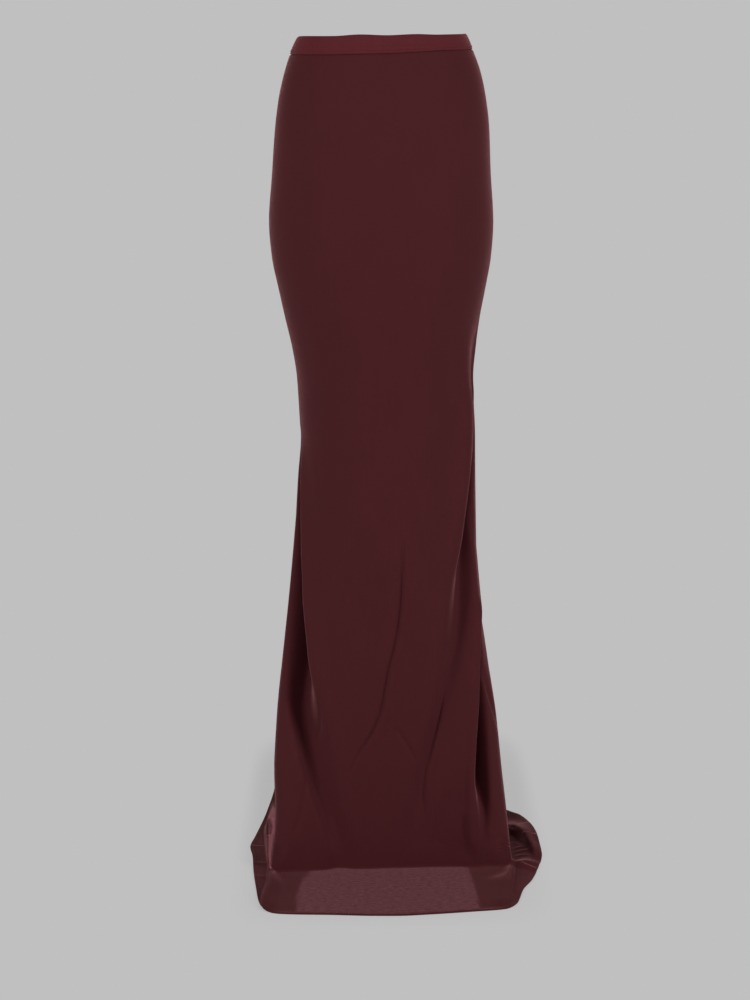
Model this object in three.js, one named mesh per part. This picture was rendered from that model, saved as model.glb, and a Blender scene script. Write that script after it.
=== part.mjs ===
// A floor-length jersey skirt with a waistband, slim to the knee and flared into a short train.
// It keeps its worn, hollow form. Millimetres, +Z up, the front faces -Y.
// The origin is the middle of the waist, level with the top edge of the waistband.
import * as THREE from 'three';

// Driving sizes
const WAIST_TO_FLOOR = 1155;
const BAND_HEIGHT = 22;
const CLOTH = 2;
const BAND_CLOTH = 2.6;
const BAND_PROUD = 0.4;
const BAND_ROLL = 0.5;
const BAND_EDGE_WAVE = 0.8;
const BAND_EDGE_TILT = 1.0;
const SEAM_GAP = 0.3;

// Grid sizes
const FRONT_COLUMNS = 34;
const BACK_COLUMNS = 30;
const BAND_COLUMNS = 64;
const TUBE_ROWS = 27;
const BEND_ROWS = 3;
const TRAIN_ROWS = 6;
const CURVE_STEPS = 120;
const ROW_CROWDING = 0.85;
const SLOPE_STEP = 0.004;
const BAND_ROWS = [0, 0.12, 0.5, 0.88, 1];

// The hanging tube, one row per height below the waist. left and right are half widths, middle is
// where the section is widest, front and back are its depths from there. A square of 2 is an
// ellipse, and a higher one is a flatter face with tighter corners.
const SECTIONS = [
  { down: 0, left: 115, right: 117, middle: 0, front: 84, back: 86, square: 2.1 },
  { down: 22, left: 122, right: 123, middle: 0, front: 88, back: 90, square: 2.1 },
  { down: 50, left: 132, right: 133.5, middle: 0, front: 94, back: 97, square: 2.1 },
  { down: 80, left: 140, right: 140.5, middle: 0, front: 99, back: 104, square: 2.15 },
  { down: 120, left: 146, right: 145.3, middle: 0, front: 104, back: 112, square: 2.2 },
  { down: 180, left: 151.5, right: 147.3, middle: 0, front: 108, back: 123, square: 2.2 },
  { down: 250, left: 157.5, right: 151, middle: 0, front: 110, back: 126, square: 2.2 },
  { down: 295, left: 154.5, right: 148, middle: 0, front: 110, back: 121, square: 2.2 },
  { down: 335, left: 147, right: 141, middle: 0, front: 109, back: 115, square: 2.2 },
  { down: 380, left: 138, right: 132, middle: 0, front: 108, back: 109, square: 2.2 },
  { down: 420, left: 129.5, right: 124, middle: 0, front: 107, back: 106, square: 2.2 },
  { down: 460, left: 124, right: 120.5, middle: 0, front: 106, back: 104, square: 2.25 },
  { down: 500, left: 122, right: 123.5, middle: 0, front: 105.5, back: 104, square: 2.3 },
  { down: 550, left: 122, right: 125.3, middle: -2, front: 104, back: 108, square: 2.3 },
  { down: 600, left: 124.5, right: 125.3, middle: -4, front: 102, back: 112, square: 2.4 },
  { down: 650, left: 127.5, right: 125.8, middle: -6, front: 101, back: 116, square: 2.5 },
  { down: 740, left: 133.5, right: 127.3, middle: -10, front: 98, back: 126, square: 2.7 },
  { down: 860, left: 145, right: 136, middle: -15, front: 95, back: 145, square: 3.2 },
  { down: 945, left: 154.5, right: 146.5, middle: -20, front: 91, back: 160, square: 3.7 },
  { down: 1030, left: 163.8, right: 157, middle: -25, front: 87, back: 177, square: 4.5 },
  { down: 1090, left: 168, right: 165, middle: -28, front: 84, back: 190, square: 5.2 },
  { down: 1155, left: 172, right: 171, middle: -30, front: 82, back: 202, square: 6 },
];
const BACK_SQUARE = 2;

// Around the tube, 0 is the front centre, 0.5 the right side seam, 1 the back centre and
// -0.5 the left side seam.

// The hem where it lies on the floor, as places beside and behind the waist's middle.
const HEM = [
  { around: -0.88, x: -95, y: 405 },
  { around: -0.78, x: -160, y: 350 },
  { around: -0.7, x: -181, y: 270 },
  { around: -0.64, x: -182, y: 200 },
  { around: -0.58, x: -190, y: 95 },
  { around: -0.53, x: -202, y: 5 },
  { around: -0.495, x: -207, y: -30 },
  { around: -0.455, x: -202, y: -64 },
  { around: -0.41, x: -197, y: -122 },
  { around: -0.36, x: -191, y: -172 },
  { around: -0.32, x: -184, y: -222 },
  { around: -0.295, x: -176, y: -248 },
  { around: -0.265, x: -153, y: -259 },
  { around: -0.16, x: -86, y: -264 },
  { around: -0.05, x: -25, y: -269 },
  { around: 0.01, x: 9, y: -270 },
  { around: 0.09, x: 49, y: -267 },
  { around: 0.19, x: 108, y: -260 },
  { around: 0.275, x: 154, y: -253 },
  { around: 0.31, x: 169, y: -237 },
  { around: 0.345, x: 182, y: -190 },
  { around: 0.375, x: 196, y: -160 },
  { around: 0.41, x: 209, y: -116 },
  { around: 0.45, x: 217, y: -75 },
  { around: 0.49, x: 216, y: -30 },
  { around: 0.53, x: 209, y: 18 },
  { around: 0.57, x: 192, y: 62 },
  { around: 0.63, x: 180, y: 130 },
  { around: 0.7, x: 180, y: 250 },
  { around: 0.78, x: 160, y: 350 },
  { around: 0.88, x: 95, y: 405 },
  { around: 1, x: 0, y: 420 },
];

// The radius of the bend where the tube meets the floor
const BENDS = [
  { around: -0.75, radius: 44 },
  { around: -0.6, radius: 24 },
  { around: -0.5, radius: 14 },
  { around: -0.38, radius: 9 },
  { around: -0.28, radius: 9 },
  { around: 0.28, radius: 9 },
  { around: 0.38, radius: 9 },
  { around: 0.5, radius: 10 },
  { around: 0.6, radius: 22 },
  { around: 0.75, radius: 44 },
  { around: 1, radius: 54 },
];

// The large folds of the tube: how far each stands out (or in, if negative) at its strongest, its
// half width, and its run from top to foot as [down, around] places. It fades in over its first
// quarter and out over its last, where a trace of it is left.
const FOLDS = [
  { name: 'left flute', out: 9, wide: 34, run: [[640, -0.47], [820, -0.4], [980, -0.33], [1150, -0.27]] },
  { name: 'left valley', out: -11, wide: 17, run: [[620, -0.41], [823, -0.314], [963, -0.249], [1130, -0.16]] },
  { name: 'front edge ridge', out: 6, wide: 22, run: [[480, 0.37], [654, 0.29], [765, 0.245], [1060, 0.09]] },
  { name: 'right valley', out: -9, wide: 17, run: [[560, 0.42], [767, 0.296], [964, 0.189], [1130, 0.12]] },
  { name: 'right flute', out: 8, wide: 20, run: [[700, 0.4], [775, 0.375], [913, 0.31], [1140, 0.25]] },
  { name: 'right outer valley', out: -8, wide: 14, run: [[760, 0.39], [887, 0.352], [1014, 0.318], [1140, 0.29]] },
  { name: 'centre crease', out: -5, wide: 16, run: [[700, 0.065], [788, 0.062], [962, -0.024], [1080, -0.12]] },
  { name: 'seat to hem, left', out: 10, wide: 34, run: [[520, -0.8], [700, -0.77], [900, -0.74], [1150, -0.7]] },
  { name: 'back valley, left', out: -11, wide: 26, run: [[560, -0.88], [740, -0.86], [950, -0.84], [1150, -0.82]] },
  { name: 'back flute', out: 10, wide: 30, run: [[600, 0.985], [780, 0.99], [960, 1], [1150, 1.01]] },
  { name: 'back valley, right', out: -11, wide: 26, run: [[540, 0.87], [760, 0.86], [940, 0.85], [1150, 0.83]] },
  { name: 'seat to hem, right', out: 10, wide: 34, run: [[500, 0.78], [720, 0.75], [920, 0.72], [1150, 0.69]] },
];
const FOLD_TRACE = 0.3;
const HALF_GIRTH = 450;

// Where the cloth on the floor is pushed up into soft heaps, highest midway between the bend and
// the hem: reach is the spread around the skirt.
const HEAPS = [
  { name: 'right side', around: 0.49, reach: 0.07, high: 15 },
  { name: 'right front', around: 0.39, reach: 0.035, high: 9 },
  { name: 'left side', around: -0.5, reach: 0.05, high: 7 },
  { name: 'train, right', around: 0.76, reach: 0.05, high: 14 },
  { name: 'train, right of the middle', around: 0.91, reach: 0.035, high: 16 },
  { name: 'train, left of the middle', around: -0.93, reach: 0.04, high: 15 },
  { name: 'train, left', around: -0.79, reach: 0.05, high: 13 },
];

const COLOURS = { panel: 0x4a2226, band: 0x5c2430 };

// A smooth value through a table's rows that never overshoots them
function steady(places, values, at) {
  const last = places.length - 1;
  if (at <= places[0]) return values[0];
  if (at >= places[last]) return values[last];
  let i = 0;
  while (places[i + 1] < at) i += 1;
  const gap = (k) => places[k + 1] - places[k];
  const rise = (k) => (values[k + 1] - values[k]) / gap(k);
  const slope = (k) => {
    if (k === 0) return rise(0);
    if (k === last) return rise(last - 1);
    if (rise(k - 1) * rise(k) <= 0) return 0;
    const before = 2 * gap(k) + gap(k - 1);
    const after = gap(k) + 2 * gap(k - 1);
    return (before + after) / (before / rise(k - 1) + after / rise(k));
  };
  const t = (at - places[i]) / gap(i);
  const s = 1 - t;
  return values[i] * (1 + 2 * t) * s * s + slope(i) * gap(i) * t * s * s
    + values[i + 1] * t * t * (3 - 2 * t) - slope(i + 1) * gap(i) * t * t * s;
}

// A table that runs once round the skirt, repeated past both ends so that it closes smoothly
function aroundColumn(table, name) {
  const turns = [-2, 0, 2];
  const rows = turns.flatMap((turn) => table.map((row) => ({ at: row.around + turn, value: row[name] })));
  const places = rows.map((row) => row.at);
  const values = rows.map((row) => row.value);
  return (around) => steady(places, values, around);
}

function downColumn(name) {
  const places = SECTIONS.map((row) => row.down);
  const values = SECTIONS.map((row) => row[name]);
  return (down) => steady(places, values, down);
}

const section = {
  left: downColumn('left'),
  right: downColumn('right'),
  middle: downColumn('middle'),
  front: downColumn('front'),
  back: downColumn('back'),
  square: downColumn('square'),
};
const hemX = aroundColumn(HEM, 'x');
const hemY = aroundColumn(HEM, 'y');
const bendRadius = aroundColumn(BENDS, 'radius');

// around brought into -0.5 to 1.5, so that the front half comes first
function wrapped(around) {
  return around - 2 * Math.floor((around + 0.5) / 2);
}

// The front or back half of a section, from one side seam to the other
function halfSection(down, isBack) {
  const power = 2 / (isBack ? BACK_SQUARE : section.square(down));
  const depth = isBack ? section.back(down) : section.front(down);
  const turn = isBack ? -1 : 1;
  const points = [];
  for (let i = 0; i <= CURVE_STEPS; i += 1) {
    const angle = Math.PI * i / CURVE_STEPS;
    const across = -Math.cos(angle) * turn;
    const half = across < 0 ? section.left(down) : section.right(down);
    const x = Math.sign(across) * half * Math.abs(across) ** power;
    const y = section.middle(down) - turn * depth * Math.abs(Math.sin(angle)) ** power;
    points.push(new THREE.Vector2(x, y));
  }
  const lengths = [0];
  for (let i = 1; i < points.length; i += 1) {
    lengths.push(lengths[i - 1] + points[i].distanceTo(points[i - 1]));
  }
  return { points, lengths, whole: lengths[CURVE_STEPS] };
}

const halfSections = new Map();
function keptHalfSection(down, isBack) {
  const key = `${down.toFixed(3)} ${isBack}`;
  if (!halfSections.has(key)) halfSections.set(key, halfSection(down, isBack));
  return halfSections.get(key);
}

// The place on the section, with even spacing along the cloth, and the way out of it
function onSection(down, around) {
  const place = wrapped(around);
  const isBack = place > 0.5;
  const half = keptHalfSection(down, isBack);
  const share = isBack ? place - 0.5 : place + 0.5;
  const want = share * half.whole;
  let i = 1;
  while (i < CURVE_STEPS && half.lengths[i] < want) i += 1;
  const start = half.points[i - 1];
  const end = half.points[i];
  const t = (want - half.lengths[i - 1]) / (half.lengths[i] - half.lengths[i - 1]);
  const point = start.clone().lerp(end, t);
  const along = end.clone().sub(start).normalize();
  return { point, out: new THREE.Vector2(along.y, -along.x), whole: half.whole };
}

function gentle(t) {
  const held = Math.min(1, Math.max(0, t));
  return held * held * (3 - 2 * held);
}

function aroundGap(a, b) {
  return Math.abs(wrapped(a - b + 0.5) - 0.5);
}

// How far the folds move the cloth out of its section
function foldOut(down, around) {
  let out = 0;
  for (const fold of FOLDS) {
    const top = fold.run[0][0];
    const foot = fold.run[fold.run.length - 1][0];
    const share = (down - top) / (foot - top);
    const fade = gentle(4 * share) * gentle(4 * (1 - share) + FOLD_TRACE);
    const centre = steady(fold.run.map((row) => row[0]), fold.run.map((row) => row[1]), down);
    const aside = aroundGap(around, centre) * HALF_GIRTH / fold.wide;
    out += fold.out * fade * Math.exp(-aside * aside);
  }
  return out;
}

function heapHigh(around, outward) {
  const along = HEAPS.map((heap) => heap.high * Math.exp(-((aroundGap(around, heap.around) / heap.reach) ** 2)));
  return along.reduce((sum, high) => sum + high, 0) * Math.sin(Math.PI * outward) ** 2;
}

// The outer face of the cloth. stage runs from 0 at the waistband's seam to 1 where the bend
// starts, to 2 where the cloth reaches the floor, and to 3 at the hem.
function outerFace(around, stage) {
  const radius = bendRadius(around);
  const floor = -WAIST_TO_FLOOR + CLOTH;
  const tubeTop = BAND_HEIGHT + SEAM_GAP;
  const tubeFoot = -floor - radius;
  const down = tubeTop + (tubeFoot - tubeTop) * Math.min(stage, 1);
  const { point, out } = onSection(down, around);
  point.addScaledVector(out, foldOut(down, around));
  if (stage <= 1) return new THREE.Vector3(point.x, point.y, -down);
  const turn = Math.PI / 2 * Math.min(stage - 1, 1);
  point.addScaledVector(out, radius * (1 - Math.cos(turn)));
  if (stage <= 2) return new THREE.Vector3(point.x, point.y, floor + radius * (1 - Math.sin(turn)));
  const outward = stage - 2;
  const place = wrapped(around);
  point.lerp(new THREE.Vector2(hemX(place), hemY(place)), outward);
  return new THREE.Vector3(point.x, point.y, floor + heapHigh(around, outward));
}

// The way out of the cloth's outer face
function outwardAt(around, stage) {
  const across = outerFace(around + SLOPE_STEP, stage).sub(outerFace(around - SLOPE_STEP, stage));
  const along = outerFace(around, stage + SLOPE_STEP).sub(outerFace(around, stage - SLOPE_STEP));
  return along.cross(across).normalize();
}

// A closed wall between an outer grid and an inner one, both given as rows of points
function wallGeometry(outer, inner, isRing) {
  const rows = outer.length;
  const columns = outer[0].length;
  const places = [...outer.flat(), ...inner.flat()].flatMap((point) => [point.x, point.y, point.z]);
  const half = rows * columns;
  const at = (row, column, side) => side * half + row * columns + (column % columns);
  const faces = [];
  const quad = (a, b, c, d) => faces.push(a, b, c, a, c, d);
  const steps = isRing ? columns : columns - 1;
  for (let row = 0; row < rows - 1; row += 1) {
    for (let column = 0; column < steps; column += 1) {
      const [r, c] = [row + 1, column + 1];
      quad(at(row, column, 0), at(r, column, 0), at(r, c, 0), at(row, c, 0));
      quad(at(row, column, 1), at(row, c, 1), at(r, c, 1), at(r, column, 1));
    }
  }
  const foot = rows - 1;
  for (let column = 0; column < steps; column += 1) {
    const c = column + 1;
    quad(at(0, column, 1), at(0, column, 0), at(0, c, 0), at(0, c, 1));
    quad(at(foot, column, 0), at(foot, column, 1), at(foot, c, 1), at(foot, c, 0));
  }
  if (!isRing) {
    const end = columns - 1;
    for (let row = 0; row < foot; row += 1) {
      const r = row + 1;
      quad(at(row, 0, 1), at(r, 0, 1), at(r, 0, 0), at(row, 0, 0));
      quad(at(row, end, 0), at(r, end, 0), at(r, end, 1), at(row, end, 1));
    }
  }
  const geometry = new THREE.BufferGeometry();
  geometry.setAttribute('position', new THREE.Float32BufferAttribute(places, 3));
  geometry.setIndex(faces);
  geometry.computeVertexNormals();
  return geometry;
}

// Stages of the panel's rows, closer together towards the foot of the tube
function panelStages() {
  const stages = [];
  for (let i = 0; i <= TUBE_ROWS; i += 1) stages.push((i / TUBE_ROWS) ** ROW_CROWDING);
  for (let i = 1; i <= BEND_ROWS; i += 1) stages.push(1 + i / BEND_ROWS);
  for (let i = 1; i <= TRAIN_ROWS; i += 1) stages.push(2 + i / TRAIN_ROWS);
  return stages;
}

// One panel, from a side seam to the next, with half the seam's gap left at each side
function panelGeometry(middle, columns) {
  const outer = [];
  const inner = [];
  for (const stage of panelStages()) {
    const down = BAND_HEIGHT + (WAIST_TO_FLOOR - BAND_HEIGHT) * Math.min(stage, 1);
    const halfReach = 0.5 - SEAM_GAP / 2 / onSection(down, middle).whole;
    const outerRow = [];
    const innerRow = [];
    for (let i = 0; i <= columns; i += 1) {
      const around = middle + halfReach * (2 * i / columns - 1);
      const point = outerFace(around, stage);
      outerRow.push(point);
      innerRow.push(point.clone().addScaledVector(outwardAt(around, stage), -CLOTH));
    }
    outer.push(outerRow);
    inner.push(innerRow);
  }
  return wallGeometry(outer, inner, false);
}

// The waistband, a closed ring with a softly waved top edge
function bandGeometry() {
  const outer = [];
  const inner = [];
  for (const share of BAND_ROWS) {
    const outerRow = [];
    const innerRow = [];
    for (let i = 0; i < BAND_COLUMNS; i += 1) {
      const around = 2 * i / BAND_COLUMNS;
      const { point, out } = onSection(BAND_HEIGHT * share, around);
      const wave = BAND_EDGE_WAVE * Math.sin(5 * Math.PI * around);
      const tilt = BAND_EDGE_TILT * Math.sin(Math.PI * around);
      const z = -BAND_HEIGHT * share + (wave + tilt) * (1 - share);
      const proud = BAND_PROUD + BAND_ROLL * Math.sin(Math.PI * share);
      const outside = point.clone().addScaledVector(out, proud);
      const inside = outside.clone().addScaledVector(out, -BAND_CLOTH);
      outerRow.push(new THREE.Vector3(outside.x, outside.y, z));
      innerRow.push(new THREE.Vector3(inside.x, inside.y, z));
    }
    outer.push(outerRow);
    inner.push(innerRow);
  }
  return wallGeometry(outer, inner, true);
}

function clothMesh(name, geometry, colour, roughness) {
  const material = new THREE.MeshStandardMaterial({ color: colour, roughness, metalness: 0 });
  const mesh = new THREE.Mesh(geometry, material);
  mesh.name = name;
  return mesh;
}

const skirt = new THREE.Group();
skirt.add(
  clothMesh('waistband', bandGeometry(), COLOURS.band, 0.7),
  clothMesh('front_panel', panelGeometry(0, FRONT_COLUMNS), COLOURS.panel, 0.85),
  clothMesh('back_panel', panelGeometry(1, BACK_COLUMNS), COLOURS.panel, 0.85),
);

export default skirt;
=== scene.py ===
import math

import bpy
import numpy as np
from mathutils import Matrix, Vector


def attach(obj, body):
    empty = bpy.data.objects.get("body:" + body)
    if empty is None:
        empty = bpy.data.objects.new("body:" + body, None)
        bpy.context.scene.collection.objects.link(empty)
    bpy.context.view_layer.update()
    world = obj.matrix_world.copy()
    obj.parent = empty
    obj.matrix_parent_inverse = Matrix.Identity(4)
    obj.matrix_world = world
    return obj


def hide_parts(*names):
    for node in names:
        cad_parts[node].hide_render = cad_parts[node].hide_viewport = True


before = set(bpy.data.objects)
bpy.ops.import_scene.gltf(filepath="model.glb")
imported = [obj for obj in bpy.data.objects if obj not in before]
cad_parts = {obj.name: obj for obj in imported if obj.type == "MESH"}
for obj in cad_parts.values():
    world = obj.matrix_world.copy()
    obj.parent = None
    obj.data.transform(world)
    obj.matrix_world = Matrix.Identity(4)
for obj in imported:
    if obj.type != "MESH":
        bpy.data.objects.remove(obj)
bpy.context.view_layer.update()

# The skirt's own sizes, in metres. +Z is up, the front faces -Y, and the origin is the middle of the
# waist, level with the waistband's top edge.
WAIST_TO_FLOOR = 1.155
CLOTH = 0.001

# The waistband: its height, how far its face lies outside the section and bulges from there, and how
# far its back lies inside. The panels' edge is tucked up behind it, and drawn in there.
BAND_HEIGHT = 0.022
BAND_PROUD = 0.0004
BAND_ROLL = 0.0005
BAND_BACK = 0.0011
TUCK = 0.008
TUCKED_IN = 0.0016
BAND_SHADE = 0.0002

# The side seams: the gap between the panels, and the groove that the stitching draws in beside it
SEAM_GAP = 0.0001
SEAM_GROOVE = 0.0007
SEAM_REACH = 0.0012

# The turned hem: its width, how much thicker it is, and over what width it gets so
HEM_TURNED = 0.007
HEM_EXTRA = 0.0004
HEM_STEP = 0.0015

# Around the skirt, 0 is the front centre, 0.5 the right side seam, 1 the back centre and -0.5 the
# left side seam. The tube's sections, by their distance down from the waist: half widths to the left
# and right of the middle, where the section is widest, and its depths in front of and behind that.
# A square of 2 is an ellipse, and a higher one is a flatter face with tighter corners.
SECTION_COLUMNS = ("down", "left", "right", "middle", "front", "back", "square")
SECTIONS = [
    (0.000, 0.1125, 0.1140, 0.000, 0.0840, 0.086, 2.10),
    (0.022, 0.1232, 0.1243, 0.000, 0.0880, 0.090, 2.10),
    (0.050, 0.1327, 0.1343, 0.000, 0.0940, 0.097, 2.10),
    (0.080, 0.1400, 0.1405, 0.000, 0.0990, 0.104, 2.15),
    (0.120, 0.1460, 0.1453, 0.000, 0.1040, 0.112, 2.20),
    (0.180, 0.1515, 0.1473, 0.000, 0.1080, 0.123, 2.20),
    (0.250, 0.1575, 0.1510, 0.000, 0.1100, 0.126, 2.20),
    (0.295, 0.1545, 0.1480, 0.000, 0.1100, 0.121, 2.20),
    (0.335, 0.1470, 0.1410, 0.000, 0.1090, 0.115, 2.20),
    (0.380, 0.1380, 0.1320, 0.000, 0.1080, 0.109, 2.20),
    (0.420, 0.1295, 0.1240, 0.000, 0.1070, 0.106, 2.20),
    (0.460, 0.1240, 0.1205, 0.000, 0.1060, 0.104, 2.25),
    (0.500, 0.1221, 0.1235, 0.000, 0.1055, 0.104, 2.30),
    (0.550, 0.1206, 0.1253, -0.002, 0.1040, 0.108, 2.30),
    (0.600, 0.1250, 0.1253, -0.004, 0.1020, 0.112, 2.40),
    (0.650, 0.1288, 0.1256, -0.006, 0.1010, 0.116, 2.50),
    (0.740, 0.1348, 0.1268, -0.010, 0.0980, 0.126, 2.70),
    (0.860, 0.1455, 0.1388, -0.015, 0.0950, 0.145, 3.20),
    (0.945, 0.1545, 0.1500, -0.020, 0.0910, 0.160, 3.70),
    (1.030, 0.1638, 0.1590, -0.025, 0.0870, 0.177, 5.00),
    (1.090, 0.1680, 0.1655, -0.028, 0.0840, 0.190, 8.50),
    (1.155, 0.1735, 0.1725, -0.030, 0.0820, 0.202, 26.00),
]
BACK_SQUARE = 2.0

# The waistband's top edge, how high it stands, and its seam below, how far down it lies
BAND_EDGE_COLUMNS = ("around", "high", "seam")
BAND_EDGES = [
    (-0.500, 0.0000, 0.0222),
    (-0.460, 0.0009, 0.0222),
    (-0.400, 0.0016, 0.0222),
    (-0.205, 0.0010, 0.0226),
    (-0.096, 0.0025, 0.0222),
    (0.027, 0.0010, 0.0220),
    (0.143, 0.0020, 0.0206),
    (0.243, 0.0010, 0.0192),
    (0.400, 0.0014, 0.0188),
    (0.500, 0.0018, 0.0192),
    (0.700, 0.0006, 0.0206),
    (0.900, 0.0013, 0.0216),
    (1.100, 0.0002, 0.0220),
    (1.300, 0.0010, 0.0224),
]

# The hem where it lies on the floor
HEM_COLUMNS = ("around", "x", "y")
HEM = [
    (-0.880, -0.095, 0.405),
    (-0.780, -0.160, 0.350),
    (-0.700, -0.181, 0.270),
    (-0.640, -0.182, 0.200),
    (-0.580, -0.190, 0.095),
    (-0.530, -0.202, 0.005),
    (-0.495, -0.207, -0.030),
    (-0.455, -0.202, -0.064),
    (-0.410, -0.197, -0.122),
    (-0.360, -0.191, -0.172),
    (-0.320, -0.184, -0.222),
    (-0.295, -0.176, -0.248),
    (-0.265, -0.153, -0.259),
    (-0.160, -0.086, -0.264),
    (-0.050, -0.025, -0.269),
    (0.010, 0.009, -0.270),
    (0.090, 0.049, -0.267),
    (0.190, 0.108, -0.260),
    (0.275, 0.154, -0.253),
    (0.310, 0.169, -0.237),
    (0.345, 0.182, -0.190),
    (0.375, 0.196, -0.160),
    (0.410, 0.209, -0.116),
    (0.450, 0.217, -0.075),
    (0.490, 0.216, -0.030),
    (0.530, 0.2105, 0.018),
    (0.570, 0.1975, 0.058),
    (0.600, 0.1810, 0.083),
    (0.640, 0.1710, 0.130),
    (0.700, 0.1740, 0.250),
    (0.780, 0.160, 0.350),
    (0.880, 0.095, 0.405),
    (1.000, 0.000, 0.420),
]

# The radius of the bend where the tube meets the floor
BEND_COLUMNS = ("around", "radius")
BENDS = [
    (-0.75, 0.030),
    (-0.60, 0.005),
    (-0.50, 0.002),
    (-0.38, 0.002),
    (-0.28, 0.002),
    (0.28, 0.002),
    (0.38, 0.002),
    (0.50, 0.002),
    (0.60, 0.004),
    (0.75, 0.018),
    (1.00, 0.054),
]

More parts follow.
